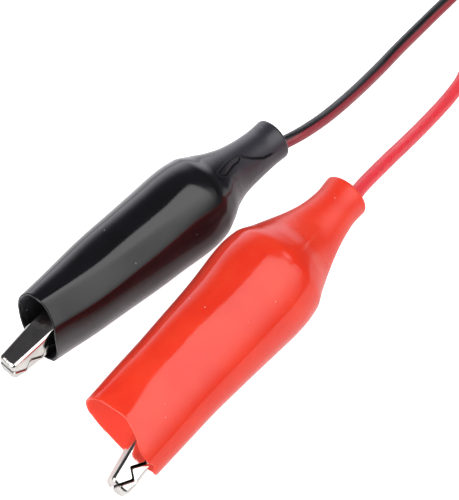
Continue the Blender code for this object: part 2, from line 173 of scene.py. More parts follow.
# The two clips: how the metal sits in its boot, where the lead leaves the neck, and the leads' routes, as in
# the CAD model.
CLIPS = {
    "black": {
        "lead_diameter": 1.8,
        "neck_exit": (0.5, -0.95),
        "tooth_height": 1.2,
        "route": (
            (28.23, 6.95, 6.07), (33.08, 7.05, 4.98), (37.73, 7.66, 3.76), (42.93, 8.56, 2.44),
            (48.43, 9.53, 1.37), (53.83, 10.31, 0.95), (61.63, 10.96, 0.92), (67.2, 11.4, 0.92),
            (73.6, 12.3, 0.92),
        ),
    },
    "red": {
        "lead_diameter": 1.9,
        "neck_exit": (-0.3, -0.8),
        "tooth_height": 1.15,
        "route": (
            (27.33, -5.19, 6.7), (34.03, -3.99, 5.14), (38.33, -3.19, 3.87), (42.93, -2.29, 2.56),
            (47.43, -1.43, 1.54), (51.43, -0.71, 1.05), (55.4, 0.25, 0.97), (60.2, 2.6, 0.97),
            (65.6, 6.1, 0.97), (73.9, 10.5, 0.94),
        ),
    },
}
LEAD_START = -22.3
LEAD_STEP = 0.9
STRIPE_TILT = math.radians(28.0)
TWIN_ROUTE = ((73.0, 11.1, 0.92), (76.3, 12.6, 0.92), (79.9, 14.05, 0.92), (86.6, 15.35, 0.92))
TAIL_ROUTE = (
    (98.5, 15.65, 6.36), (103.5, 15.15, 6.36), (108.3, 14.25, 5.75), (112.0, 13.4, 4.85), (115.6, 13.0, 4.50),
)
FLEX_WIDTH = 3.6
FLEX_THICKNESS = 1.8
FLEX_HEIGHT = 0.92
FLEX_STEP = 1.6
COIL_CENTRE = (94.0, -3.3)
COIL_RADIUS = 19.0
COIL_TURNS = 3
COIL_PITCH = 1.8
COIL_CLIMB = (245.0, 318.0)
TIE_THICKNESS = 0.45
TIE_WIDTH = 2.4
PLUG_ENTRY = (115.0, 13.0)
PLUG_RADIUS = 4.5
OVERMOULD_LENGTH = 30.0
RELIEF_LENGTH = 11.0
BARREL_LENGTH = 9.5
BARREL_RADIUS = 2.75


# ---- curves and meshes


def reading(rows, x):
    """The value at x of a smooth line through the rows, which never swings past a row's own value."""
    rows = sorted(rows)
    if x <= rows[0][0]:
        return rows[0][1]
    if x >= rows[-1][0]:
        return rows[-1][1]
    steps = [(b[1] - a[1]) / (b[0] - a[0]) for a, b in zip(rows, rows[1:])]
    slopes = [steps[0]]
    for before, after in zip(steps, steps[1:]):
        slopes.append(2 * before * after / (before + after) if before * after > 0 else 0.0)
    slopes.append(steps[-1])
    i = max(k for k in range(len(rows) - 1) if rows[k][0] <= x)
    (x0, v0), (x1, v1) = rows[i], rows[i + 1]
    span = x1 - x0
    t = (x - x0) / span
    rise = v0 * (1 - 3 * t * t + 2 * t**3) + v1 * (3 * t * t - 2 * t**3)
    return rise + span * (slopes[i] * (t - 2 * t * t + t**3) + slopes[i + 1] * (t**3 - t * t))


def readings(rows, values):
    """The smooth line's value at each of an array's values."""
    return np.array([reading(rows, value) for value in values.ravel()]).reshape(values.shape)


def straight(rows, x):
    """The value at x of straight runs between the rows."""
    rows = sorted(rows)
    return float(np.interp(x, [row[0] for row in rows], [row[1] for row in rows]))


def smoothstep(low, high, value):
    t = np.clip((np.asarray(value, float) - low) / (high - low), 0.0, 1.0)
    return t * t * (3 - 2 * t)


def smooth_route(points, step):
    """Points about a step apart on a smooth curve through a route's own points."""
    spots = [np.array(point, float) for point in points]
    ends = [2 * spots[0] - spots[1], *spots, 2 * spots[-1] - spots[-2]]
    found = []
    for a, b, c, d in zip(ends, ends[1:], ends[2:], ends[3:]):
        count = max(1, round(float(np.linalg.norm(c - b)) / step))
        for i in range(count):
            t = i / count
            curve = 2 * b + (c - a) * t + (2 * a - 5 * b + 4 * c - d) * t * t
            found.append((curve + (3 * b - a - 3 * c + d) * t**3) / 2)
    return np.array(found + [spots[-1]])


def arc(centre, radius, start, end, count):
    """Points round an arc, with its ends in degrees. radius may hold one value for each axis."""
    wide, high = radius if isinstance(radius, tuple) else (radius, radius)
    turns = np.radians(np.linspace(start, end, count))
    return [(centre[0] + wide * math.cos(a), centre[1] + high * math.sin(a)) for a in turns]


def linked(name, data):
    """A new object in the scene that shows this mesh, camera or light."""
    obj = bpy.data.objects.new(name, data)
    bpy.context.scene.collection.objects.link(obj)
    return obj


def put_in_scene(name, points, faces):
    """A smooth mesh object from millimetre points, with its faces turned outwards."""
    mesh = bpy.data.meshes.new(name)
    mesh.from_pydata((np.asarray(points, float) * MM).tolist(), [], faces)
    mesh.update()
    mesh.calc_loop_triangles()
    spots = np.array([vertex.co for vertex in mesh.vertices])
    corners = np.array([triangle.vertices for triangle in mesh.loop_triangles])
    a, b, c = spots[corners[:, 0]], spots[corners[:, 1]], spots[corners[:, 2]]
    if np.einsum("ij,ij->i", a, np.cross(b, c)).sum() < 0:
        mesh.flip_normals()
    mesh.shade_smooth()
    return linked(name, mesh)


def grid_faces(rows, columns, close_rows=False, close_columns=True, first=0):
    faces = []
    for i in range(rows if close_rows else rows - 1):
        near = first + i * columns
        far = first + (i + 1) % rows * columns
        for j in range(columns if close_columns else columns - 1):
            k = (j + 1) % columns
            faces.append((near + j, near + k, far + k, far + j))
    return faces


def ringed(name, rings, closed=False):
    """A skin over equal rings of points. It joins end to start if it is closed, and else has caps."""
    rings = np.asarray(rings, float)
    rows, columns = rings.shape[:2]
    faces = grid_faces(rows, columns, close_rows=closed)
    if not closed:
        faces.append(tuple(reversed(range(columns))))
        faces.append(tuple(range((rows - 1) * columns, rows * columns)))
    return put_in_scene(name, rings.reshape(-1, 3), faces)


def as_stamped(obj):
    """Sharp faces with finely rounded edges, as sheet metal has."""
    obj.data.set_sharp_from_angle(angle=math.radians(32.0))
    modifier = obj.modifiers.new("Edges", "BEVEL")
    modifier.width = EDGE_ROUNDING * MM
    modifier.segments = 2
    modifier.limit_method = "ANGLE"
    modifier.angle_limit = math.radians(30.0)
    modifier.harden_normals = True


def swept(name, path, section, ends=(1.0, 1.0), upright=(0.0, 0.0, 1.0), place=None):
    """A skin that carries a section, as (side, up) pairs, along a path. ends scale the last rings."""
    ahead = np.gradient(path, axis=0)
    ahead /= np.linalg.norm(ahead, axis=1)[:, None]
    side = np.cross(upright, ahead)
    side /= np.linalg.norm(side, axis=1)[:, None]
    up = np.cross(ahead, side)
    section = np.asarray(section, float)
    scale = np.ones(len(path))
    scale[0], scale[-1] = ends
    spots = section[None, :, :] * scale[:, None, None]
    rings = path[:, None, :] + side[:, None, :] * spots[..., :1] + up[:, None, :] * spots[..., 1:]
    return ringed(name, place(rings) if place else rings)


def circle(radius, count):
    turn = 2 * math.pi * np.arange(count) / count
    return np.stack([radius * np.cos(turn), radius * np.sin(turn)], axis=1)


def mark(obj, name, values):
    """A number at each of the mesh's points, which its material reads."""
    attribute = obj.data.attributes.new(name, "FLOAT", "POINT")
    attribute.data.foreach_set("value", np.asarray(values, np.float32).reshape(-1))


# ---- materials


class Nodes:
    """A node tree, with short ways to add to it."""

    def __init__(self, tree):
        self.tree = tree

    def node(self, kind, **settings):
        made = self.tree.nodes.new(kind)
        for key, value in settings.items():
            setattr(made, key, value)
        return made

    def link(self, source, target):
        self.tree.links.new(source, target)

    def math(self, operation, a, b):
        node = self.node("ShaderNodeMath", operation=operation)
        for socket, value in zip(node.inputs, (a, b)):
            if isinstance(value, (int, float)):
                socket.default_value = value
            else:
                self.link(value, socket)
        return node.outputs["Value"]

    def ramp(self, source, start, end):
        """source read between two (position, value) pairs."""
        node = self.node("ShaderNodeMapRange", interpolation_type="SMOOTHSTEP", clamp=True)
        (node.inputs["From Min"].default_value, node.inputs["To Min"].default_value) = start
        (node.inputs["From Max"].default_value, node.inputs["To Max"].default_value) = end
        self.link(source, node.inputs["Value"])
        return node.outputs["Result"]


class Finish(Nodes):
    """A material made of nodes. Lengths given to its textures are in millimetres."""

    def __init__(self, name, roughness, metallic=0.0, specular=0.5):
        self.material = bpy.data.materials.new(name)
        self.material.use_nodes = True
        super().__init__(self.material.node_tree)
        self.shader = self.tree.nodes["Principled BSDF"]
        self.set("Metallic", metallic)
        self.set("Specular IOR Level", specular)
        self.set("Roughness", roughness)
        self.place = self.node("ShaderNodeTexCoord").outputs["Object"]
        self.bumped = None

    def set(self, name, value):
        """One of the shader's own inputs, as a constant or from another node."""
        socket = self.shader.inputs[name]
        if isinstance(value, (int, float, tuple)):
            socket.default_value = value
        else:
            self.link(value, socket)
        return self

    def noise(self, size, detail=2.0, rough=0.5, stretch=None):
        """Noise whose features are about size across. stretch scales each axis of its place."""
        place = self.place
        if stretch:
            mapping = self.node("ShaderNodeMapping")
            mapping.inputs["Scale"].default_value = stretch
            self.link(place, mapping.inputs["Vector"])
            place = mapping.outputs["Vector"]
        node = self.node("ShaderNodeTexNoise")
        node.inputs["Scale"].default_value = 1.0 / (size * MM)
        node.inputs["Detail"].default_value = detail
        node.inputs["Roughness"].default_value = rough
        self.link(place, node.inputs["Vector"])
        return node.outputs["Fac"]

    def specks(self, spacing, share, size):
        """1 on sparse round specks of dust. share is how many of the cells hold one."""
        cells = self.node("ShaderNodeTexVoronoi", feature="F1")
        cells.inputs["Scale"].default_value = 1.0 / (spacing * MM)
        self.link(self.place, cells.inputs["Vector"])
        near = self.ramp(cells.outputs["Distance"], (size / spacing * 0.6, 1.0), (size / spacing, 0.0))
        split = self.node("ShaderNodeSeparateColor")
        self.link(cells.outputs["Color"], split.inputs["Color"])
        lucky = self.math("GREATER_THAN", split.outputs["Red"], 1.0 - share)
        return self.math("MULTIPLY", near, lucky)

    def attribute(self, name):
        return self.node("ShaderNodeAttribute", attribute_name=name).outputs["Fac"]

    def mix(self, share, a, b):
        """Colour a where share is 0 and b where it is 1."""
        node = self.node("ShaderNodeMix", data_type="RGBA")
        sockets = [socket for socket in node.inputs if socket.type == "RGBA"]
        self.link(share, node.inputs["Factor"])
        for socket, value in zip(sockets, (a, b)):
            if isinstance(value, tuple):
                socket.default_value = (*value, 1.0)
            else:
                self.link(value, socket)
        return next(socket for socket in node.outputs if socket.type == "RGBA")

    def bump(self, height, depth):
        """Relief from a 0 to 1 height, depth millimetres deep."""
        node = self.node("ShaderNodeBump")
        node.inputs["Strength"].default_value = 1.0
        node.inputs["Distance"].default_value = depth * MM
        self.link(height, node.inputs["Height"])
        if self.bumped:
            self.link(self.bumped, node.inputs["Normal"])
        self.bumped = node.outputs["Normal"]
        return self.set("Normal", self.bumped)

    def on(self, *objects):
        for obj in objects:
            obj.data.materials.clear()
            obj.data.materials.append(self.material)


def boot_vinyl(name, colour, deep, dust, haze, specular=0.5, subsurface=0.0, painted_neck_haze=None, painted_glow=None):
    """Dipped PVC: glossy, with a fine orange peel, cloudy colour and a few specks of dust.

    Given a neck colour, its neck is painted paler, a painted haze of reflected light, and its folds are
    painted dark,
    as painted shade: as a metal of the deep colour, they mirror almost nothing. Given an inner colour, its
    inner skin glows by emission, a painted glow standing in for light that comes through its thin wall.
    """
    finish = Finish(name, 0.15, specular=specular)
    cloud = finish.noise(6.0, 3.0)
    speck = finish.specks(0.9, 0.05, 0.10)
    tone = finish.mix(finish.ramp(cloud, (0.3, 0.0), (0.7, 1.0)), colour, deep)
    neck, crease = finish.attribute("neck"), finish.attribute("crease")
    if painted_neck_haze:
        # Painted haze and painted shade: the neck's colour is lifted to a pale haze, and the folds take the
        # deep colour as a metal that mirrors almost nothing.
        tone = finish.mix(crease, finish.mix(neck, tone, painted_neck_haze), deep)
        finish.set("Metallic", crease)
    finish.set("Base Color", finish.mix(speck, tone, dust))
    grain = finish.noise(0.16, 3.0, 0.6)
    satin = finish.math("ADD", finish.math("MULTIPLY", neck, 0.20), finish.math("MULTIPLY", crease, 0.7))
    gloss = finish.math("ADD", finish.ramp(grain, (0.3, 0.09), (0.7, 0.17)), satin)
    finish.set("Roughness", finish.math("ADD", gloss, finish.math("MULTIPLY", speck, 0.5)))
    finish.bump(finish.noise(1.6, 2.0), 0.010)
    finish.bump(grain, 0.0035)
    finish.bump(speck, 0.02)
    finish.set("Subsurface Weight", subsurface)
    finish.set("Subsurface Radius", (1.0, 0.25, 0.15))
    finish.set("Subsurface Scale", 0.0016)
    finish.set("Sheen Weight", haze)
    finish.set("Sheen Roughness", 0.3)
    finish.set("Sheen Tint", (0.94, 0.92, 1.0, 1.0))
    if painted_glow:
        # Painted glow: the inner skin emits this colour, standing in for light that comes through the thin
        # wall.
        finish.set("Emission Color", (*painted_glow, 1.0))
        finish.set("Emission Strength", finish.attribute("inside"))
    return finish


def plated(name, light, dark, roughness, grain_size=0.12, depth=0.006):
    """Plate with a rolled grain, cloudy tarnish and fine scratches, and painted shade on the inside of a
    channel.
    """
    finish = Finish(name, roughness, metallic=1.0)
    grain = finish.noise(grain_size, 4.0, 0.65)
    haze = finish.noise(1.8, 3.0)
    scratch = finish.noise(0.9, 3.0, 0.6, (0.18, 2.4, 2.4))
    bright = finish.mix(finish.ramp(haze, (0.35, 0.0), (0.7, 1.0)), light, dark)
    # Painted shade: a channel's inner skin is coloured near black, as though in shadow, and made rougher.
    inside = finish.ramp(finish.attribute("inside"), (0.04, 0.0), (0.35, 1.0))
    finish.set("Base Color", finish.mix(inside, bright, (0.035, 0.03, 0.028)))
    satin = finish.ramp(grain, (0.3, roughness * 0.75), (0.7, roughness * 1.5))
    finish.set("Roughness", finish.math("ADD", satin, finish.math("MULTIPLY", inside, 0.3)))
    finish.bump(grain, depth)
    finish.bump(scratch, 0.004)
    return finish


def cord_vinyl(name, left, right):
    """Extruded PVC in one or two colours: left where the mark "side" is 1, and right where it is 0."""
    finish = Finish(name, 0.3)
    side = finish.attribute("side")
    streak = finish.noise(0.8, 3.0, 0.55, (0.15, 1.0, 1.0))
    edge = finish.math("ADD", side, finish.math("MULTIPLY", finish.math("SUBTRACT", streak, 0.5), 0.10))
    tone = finish.mix(finish.ramp(edge, (0.42, 0.0), (0.58, 1.0)), right, left)
    shade = finish.mix(finish.ramp(streak, (0.4, 0.0), (0.9, 0.2)), tone, (0.02, 0.012, 0.012))
    finish.set("Base Color", shade)
    finish.set("Roughness", finish.ramp(streak, (0.3, 0.24), (0.7, 0.4)))
    finish.bump(streak, 0.012)
    finish.bump(finish.noise(0.2, 2.0), 0.003)
    return finish


def moulded(name, colour, worn, roughness, grain_size=0.35, depth=0.012):
    """Moulded plastic with a fine spark-eroded grain and paler, rubbed patches."""
    finish = Finish(name, roughness)
    grain = finish.noise(grain_size, 4.0, 0.6)
    rub = finish.noise(5.0, 4.0, 0.6)
    finish.set("Base Color", finish.mix(finish.ramp(rub, (0.5, 0.0), (0.8, 0.6)), colour, worn))
    finish.set("Roughness", finish.ramp(grain, (0.3, roughness * 0.8), (0.7, min(1.0, roughness * 1.3))))
    finish.bump(grain, depth)
    return finish


# ---- the clips' frames


class ClipFrame:
    """Where a clip lies, read from its boot's and its joint's places in the CAD frame."""

    def __init__(self, colour, frame):
        self.colour = colour
        self.settings = CLIPS[colour]
        joint = next(j for j in frame["joints"] if j["name"] == colour + "_jaw_hinge")
        mesh = frame["nodes"][colour + "_boot"].data
        spots = np.array([vertex.co for vertex in mesh.vertices]) / MM
        self.across = -np.array(joint["axis"], float)
        self.across /= np.linalg.norm(self.across)
        middle = spots.mean(axis=0)
        rough_axis = np.linalg.svd(spots - middle, full_matrices=False)[2][0]
        reach = (spots - middle) @ rough_axis
        pivot = np.array(joint["pos_m"], float) / MM
        ends = [spots[near].mean(axis=0) for near in (reach > reach.max() - 0.5, reach < reach.min() + 0.5)]
        slices = [spots[abs((spots - end) @ rough_axis) < 0.5] for end in ends]
        widths = [np.linalg.norm(part - end, axis=1).max() for part, end in zip(slices, ends)]
        mouth, neck = (ends[0], ends[1]) if widths[0] > widths[1] else (ends[1], ends[0])
        ahead = mouth - neck
        self.scale = float(np.linalg.norm(ahead)) / (MOUTH - NECK_END)
        ahead -= self.across * (ahead @ self.across)
        self.ahead = ahead / np.linalg.norm(ahead)
        self.up = np.cross(self.ahead, self.across)
        self.axes = np.stack([self.ahead, self.across, self.up])
        self.origin = mouth - self.ahead * MOUTH * self.scale
        offset = self.axes @ (pivot - self.origin)
        self.seat = np.array([offset[0] - PIVOT[0], 0.0, offset[2] - PIVOT[1]])

    def place(self, points):
        """Table points from points in the clip's frame."""
        return np.asarray(points, float) @ self.axes + self.origin

    def place_metal(self, points):
        """Table points from points in the metal's frame."""
        return self.place(np.asarray(points, float) + self.seat)


# ---- boots


def line_distance(x, s, line):
    """How far each surface point (x, s) is from a line of points, its signed side, and its share along it."""
    best = np.full(np.shape(x), 1e9)
    side = np.zeros(np.shape(x))
    along = np.zeros(np.shape(x))
    for i, ((x0, s0), (x1, s1)) in enumerate(zip(line, line[1:])):
        dx, ds = x1 - x0, s1 - s0
        t = np.clip(((x - x0) * dx + (s - s0) * ds) / (dx * dx + ds * ds), 0, 1)
        away_x, away_s = x - x0 - t * dx, s - s0 - t * ds
        distance = np.hypot(away_x, away_s)
        nearer = distance < best
        best = np.where(nearer, distance, best)
        side = np.where(nearer, np.sign(dx * away_s - ds * away_x), side)
        along = np.where(nearer, (i + t) / (len(line) - 1), along)
    return best, side, along


# The boot's radius near its neck, which turns degrees round it into millimetres, and the lines drawn there as
# (x, degrees): the end of the lever under the black skin, and the fold along the red neck.
MEAN_RADIUS = 4.2
LEDGE = (
    (-14.6, 66), (-16.4, 68), (-18.2, 72), (-20.0, 72), (-20.5, 62), (-21.4, 50), (-23.0, 35), (-25.6, 25),
)
RED_CREASE = ((-20.1, -11.5), (-19.4, -11.5), (-18.0, -14), (-16.2, -11.4), (-13.8, -6.4), (-12.4, -1.2))


def on_skin(line):
    """A line of (x, degrees round the boot) as (x, millimetres round it)."""
    return [(x, math.radians(turn) * MEAN_RADIUS) for x, turn in line]


def faded(along, share=0.12):
    """1 along a line's middle, falling to 0 at its ends."""
    return smoothstep(0.0, share, along) * smoothstep(0.0, share, 1 - along)


def above_ledge(x, turn):
    """How far points lie past the line of the lever's end, then its fading, its bead and the bead's width."""
    away, side, along = line_distance(x, turn * MEAN_RADIUS, on_skin(LEDGE))
    open_at = smoothstep(0.0, 0.14, along) * (1.0 - smoothstep(0.34, 0.48, along))
    return np.where(side > 0, away, -away), faded(along, 0.2), 1.0 - smoothstep(0.40, 0.50, along), open_at


def black_relief(x, turn):
    """What the lever's end presses into the black boot's skin, in millimetres outwards."""
    above, fade, bead, _ = above_ledge(x, turn)
    step = 0.20 * smoothstep(-0.20, 0.16, above) * np.exp(-((np.maximum(above, 0) / 2.8) ** 2))
    rib = 0.17 * np.exp(-(((above - 0.34) / 0.19) ** 2))
    return (step + rib * bead) * fade


def black_crease(x, turn):
    """1 in the sharp folds either side of the lever's end, and 0 away from them."""
    above, fade, bead, open_at = above_ledge(x, turn)
    crisp = np.minimum(1.0, 3 * fade)
    fold = np.exp(-((above / 0.22) ** 2)) + np.exp(-(((above - 0.80 * open_at) / 0.19) ** 2)) * bead
    return np.minimum(1.0, fold) * crisp


def red_crease(x, turn):
    """1 in the fold along the red boot's neck, and 0 away from it."""
    away, side, along = line_distance(x, turn * MEAN_RADIUS, on_skin(RED_CREASE))
    return 0.6 * np.exp(-((away / 0.22) ** 2)) * faded(along, 0.3)


def red_relief(x, turn):
    """The fold along the red boot's neck, in millimetres outwards."""
    away, side, along = line_distance(x, turn * MEAN_RADIUS, on_skin(RED_CREASE))
    behind = np.where(side > 0, away, -away)
    groove = -0.16 * np.exp(-((away / 0.55) ** 2))
    return (groove + 0.10 * np.exp(-((behind - 1.0) ** 2) / 0.6)) * faded(along, 0.25)


def waves(x, turn, seed):
    """The slight unevenness of a dipped sleeve."""
    random = np.random.default_rng(seed)
    total = np.zeros(np.broadcast(x, turn).shape)
    for _ in range(9):
        k = random.integers(1, 4)
        length = random.uniform(9.0, 22.0)
        phase, drift = random.uniform(0, 2 * math.pi, 2)
        total += np.sin(k * turn + phase) * np.sin(2 * math.pi * x / length + drift)
    return total * 0.022


# Each boot's own shape. facet is the way its flattened side faces, in degrees, and its depth at each x.
# lip is how far the trimmed lip stands forward at each degree round the mouth, and ragged its unevenness.
BOOTS = {
    "black": {
        "relief": black_relief,
        "crease": black_crease,
        "facet": (43.0, ((-13.0, 0.0), (-8.0, 0.12), (2.0, 0.28), (9.0, 0.42), (14.0, 0.5))),
        "lip": (
            (-180, 0.1), (-60, 0.3), (0, 0.25), (19, 0.12), (40, -0.3),
            (60, -0.5), (85, -0.43), (111, -0.36), (135, 0.0), (180, 0.1),
        ),
        "ragged": 0.05,
        "seed": 11,
    },
    "red": {
        "relief": red_relief,
        "crease": red_crease,
        "facet": (20.0, ((-13.0, 0.0), (4.0, 0.0), (9.0, 0.1), (14.0, 0.22))),
        "lip": (
            (-180, 0.0), (-115, 0.1), (-88, 0.6), (-64, 1.25), (-52, 0.95), (-38, 1.3),
            (-20, 1.0), (-9, 0.5), (0, 0.05), (18, -0.35), (36, -0.2), (95, 0.0), (180, 0.0),
        ),
        "ragged": 0.07,
        "seed": 23,
    },
}

# The lip is at its most uneven between these degrees.
TORN_FROM, TORN_TO = -85.0, -6.0
TORN_FADE = 15.0


def lip_line(turn, own):
    """How far the trimmed lip stands forward of the boot's end, round the mouth."""
    random = np.random.default_rng(own["seed"] + 1)
    degrees = (np.degrees(turn) + 180.0) % 360.0 - 180.0
    total = np.zeros(np.shape(turn))
    for k in (3, 5, 8, 13, 21, 34):
        total += np.sin(k * turn + random.uniform(0, 2 * math.pi)) / k**0.7
    torn = smoothstep(TORN_FROM, TORN_FROM + TORN_FADE, degrees)
    torn = torn * smoothstep(TORN_TO, TORN_TO - TORN_FADE, degrees)
    return readings(own["lip"], degrees) + own["ragged"] * total * (1 + 1.6 * torn)


def pressed(x, y, z, facet):
    """y and z pushed in to a flat facet: the way it faces, in degrees, and how deep it goes at each x."""
    towards = math.radians(facet[0])
    deep = readings(facet[1], x[:, :1])
    out = y * math.cos(towards) + z * math.sin(towards)
    over = out - out.max(axis=1, keepdims=True) + deep
    soft = 0.12
    push = np.where(deep > 0.01, (over + np.sqrt(over * over + soft * soft)) / 2, 0.0)
    push = push * smoothstep(0.01, 0.2, deep)
    return y - push * math.cos(towards), z - push * math.sin(towards)


def boot_skin(x, turn, inset, own):
    """Points on the boot's skin, inset millimetres under its outer face."""
    height = readings([(row[0], row[1]) for row in BOOT_SECTIONS], x[:, :1])
    width = readings([(row[0], row[2]) for row in BOOT_SECTIONS], x[:, :1])
    power = 2.0 / (2.0 + 0.28 * smoothstep(-16.0, 6.0, x))
    c, s = np.cos(turn), np.sin(turn)
    across = np.sign(c) * np.abs(c) ** power
    up = np.sign(s) * np.abs(s) ** power
    normal_y, normal_z = across / width, up / height
    size = np.hypot(normal_y, normal_z)
    outwards = waves(x, turn, own["seed"]) + own["relief"](x, turn) - inset
    y, z = pressed(x, width * across, height * up, own["facet"])
    return y + outwards * normal_y / size, z + outwards * normal_z / size


def boot(clip):
    """The sleeve: an outer skin, a rounded lip, an inner skin and a rounded neck, as one closed body."""
    own = BOOTS[clip.colour]
    turn = (2 * math.pi * np.arange(BOOT_SIDES) / BOOT_SIDES)[None, :]
    half_turn = np.linspace(0.0, math.pi, 6)[1:-1]
    rounding = [((1 - math.cos(a)) / 2, math.sin(a) / 2) for a in half_turn]
    stations = [(x, 0.0, 0.0) for x in np.linspace(MOUTH, NECK_END, BOOT_RINGS)]
    stations += [(NECK_END, BOOT_WALL * deep, -BOOT_WALL * out) for deep, out in rounding]
    stations += [(x, BOOT_WALL, 0.0) for x in np.linspace(NECK_END, MOUTH, BOOT_INNER_RINGS)]
    stations += [(MOUTH, BOOT_WALL * (1 - deep), LIP_WALL * out) for deep, out in rounding]
    stations = np.array(stations)
    x = stations[:, :1] + 0.0 * turn
    thinning = smoothstep(MOUTH - LIP_TAPER, MOUTH, x) * (BOOT_WALL - LIP_WALL)
    inset = stations[:, 1:2] * (1 - thinning / BOOT_WALL)
    y, z = boot_skin(x, turn, inset, own)
    forward = x + stations[:, 2:] + lip_line(turn, own) * smoothstep(MOUTH - LIP_REACH, MOUTH, x)
    placed = clip.place(np.stack([forward, y, z], axis=-1) * clip.scale)
    placed[..., 2] = np.maximum(placed[..., 2], TABLE_CLEARANCE + inset)
    obj = ringed(clip.colour + "_boot_sleeve", placed, closed=True)
    # The neck mark roughens the neck, and on the black boot it also paints the neck paler, a painted haze.
    mark(obj, "neck", smoothstep(*NECK_FADE, x))
    # The crease mark roughens the folds, and on the black boot it also paints them dark, a painted shade.
    mark(obj, "crease", own["crease"](x, turn) * np.where(inset > 0.1, 0.0, 1.0))
    # The inner skin is marked, and on the red boot it glows there, a painted glow.
    mark(obj, "inside", np.clip(inset / LIP_WALL, 0.0, 1.0) + 0.0 * x)
    return obj


# ---- jaws


def tooth_line(height):
    """The bite's corners as (x, z), from the tip back to where the teeth end."""
    corners = [(TIP + 0.1, straight(BITE, TIP) + height / 2)]
    for i in range(TEETH):
        valley = FIRST_TOOTH - i * TOOTH_PITCH
        corners.append((valley, straight(BITE, valley) - height / 2))
        peak = valley - TOOTH_STEEP
        corners.append((peak, straight(BITE, peak) + height / 2))
    return corners


def jaw_section(half_width, back, edge, bend, count):
    """Half of a channel's outline as (y, z), from its free edge to the middle of its back."""
    towards = 1.0 if edge < back else -1.0
    centre = (half_width - bend, back - towards * bend)
    side = [(half_width, z) for z in np.linspace(edge, centre[1], count)[:-1]]
    corner = arc(centre, (bend, towards * bend), 0.0, 90.0, 7)
    return side + corner + [(y, back) for y in np.linspace(centre[0], 0.0, count)[1:]]


def jaw(clip, name, backs, edges, widths, towards):
    """A stamped channel: outer and inner skins that share a front wall, joined along the free edge.

    Its back is above its teeth where towards is 1, and below them where it is -1.
    """
    teeth = [(x, z + towards * BITE_GAP / 2) for x, z in tooth_line(clip.settings["tooth_height"])]
    edge_rows = teeth + [row for row in edges if row[0] < teeth[-1][0] - 0.5]
    start = min(edge_rows)[0]
    stations = [(x, 0.0) for x in np.arange(start, TIP - TIP_ROUNDING, JAW_STEP)]
    for a in np.radians(np.linspace(0.0, 84.0, 8)):
        stations.append((TIP - TIP_ROUNDING * (1 - math.sin(a)), TIP_ROUNDING * 0.55 * (1 - math.cos(a))))
    smoothed = []
    for x, _ in stations:
        near = [straight(edge_rows, x + share * JAW_STEP) for share in (-1.0, -0.5, 0.0, 0.5, 1.0)]
        smoothed.append(sum(near) / len(near))
    skins = []
    for inset in (0.0, SHEET):
        rings = []
        for (x, shrink), edge in zip(stations, smoothed):
            half_width = reading(widths, x) - shrink - inset * (1.0 if towards > 0 else 1.2)
            back = reading(backs, x) - towards * (shrink + inset)
            if inset and towards < 0:
                edge += (BITE_GAP + 0.1) * smoothstep(TEETH_END - 1.0, TEETH_END, x)
            depth = abs(back - edge)
            bend = max(0.08, min(BEND_RADIUS - inset * 0.6, half_width - 0.25, 0.6 * depth))
            half = jaw_section(half_width, back, edge, bend, 5)
            pulled = x - inset * smoothstep(TIP - 3.0, TIP, x)
            rings.append([(pulled, y, z) for y, z in half] + [(pulled, -y, z) for y, z in half[-2::-1]])
        skins.append(np.array(rings))
    rows, columns = skins[0].shape[:2]
    inner = rows * columns
    faces = grid_faces(rows, columns, close_columns=False)
    faces += [tuple(reversed(face)) for face in grid_faces(rows, columns, close_columns=False, first=inner)]
    for i in range(rows - 1):
        for j in (0, columns - 1):
            a, b = i * columns + j, (i + 1) * columns + j
            quad = (a, b, b + inner, a + inner)
            faces.append(quad if j == 0 else tuple(reversed(quad)))
    faces += [(j + 1, j, j + inner, j + 1 + inner) for j in range(columns - 1)]
    last = (rows - 1) * columns
    faces.append(tuple(last + j for j in range(columns)))
    faces.append(tuple(reversed([inner + last + j for j in range(columns)])))
    faces.append((last + columns - 1, last, inner + last, inner + last + columns - 1))
    points = clip.place_metal(np.concatenate([skin.reshape(-1, 3) for skin in skins]))
    obj = put_in_scene(clip.colour + name, points, faces)
    # The inner skin is marked, and the nickel finish paints it near black as painted shade.
    mark(obj, "inside", np.repeat((0.0, 1.0), inner))
    as_stamped(obj)
    return obj


def crimp(clip):
    """The barrel rolled from the fixed jaw's own sheet round the lead's strands, with its seam on top."""
    rings = []
    for x in np.linspace(*CRIMP_SPAN, 14):
        squeeze = 1.0 - 0.12 * math.exp(-(((x + 18.5) / 1.1) ** 2))
        outline = arc((0.0, 0.0), CRIMP_RADIUS * squeeze, 98.0, 442.0, 40)
        outline += arc((0.0, 0.0), (CRIMP_RADIUS - CRIMP_WALL) * squeeze, 442.0, 98.0, 40)
        rings.append([(x, y, z) for y, z in outline])
    obj = ringed(clip.colour + "_crimp", clip.place_metal(rings))
    as_stamped(obj)
    return obj


# ---- cords


def lead(clip):
    """One core of the flex: from the crimp, out of the boot's neck and along the table to the split."""
    start = clip.place_metal([(LEAD_START, 0.0, 0.0), (LEAD_START - 1.5, 0.0, 0.0)])
    neck = clip.place([(NECK_END * clip.scale, *clip.settings["neck_exit"])])
    path = smooth_route([*start, *neck, *clip.settings["route"]], LEAD_STEP)
    radius = clip.settings["lead_diameter"] / 2
    section = circle(radius, 28)
    obj = swept(clip.colour + "_lead_cord", path, section, (0.9, 0.9))
    side = section[:, 0] / radius * math.cos(STRIPE_TILT) + section[:, 1] / radius * math.sin(STRIPE_TILT)
    mark(obj, "side", np.tile(0.5 + 0.5 * side, len(path)))
    return obj, path


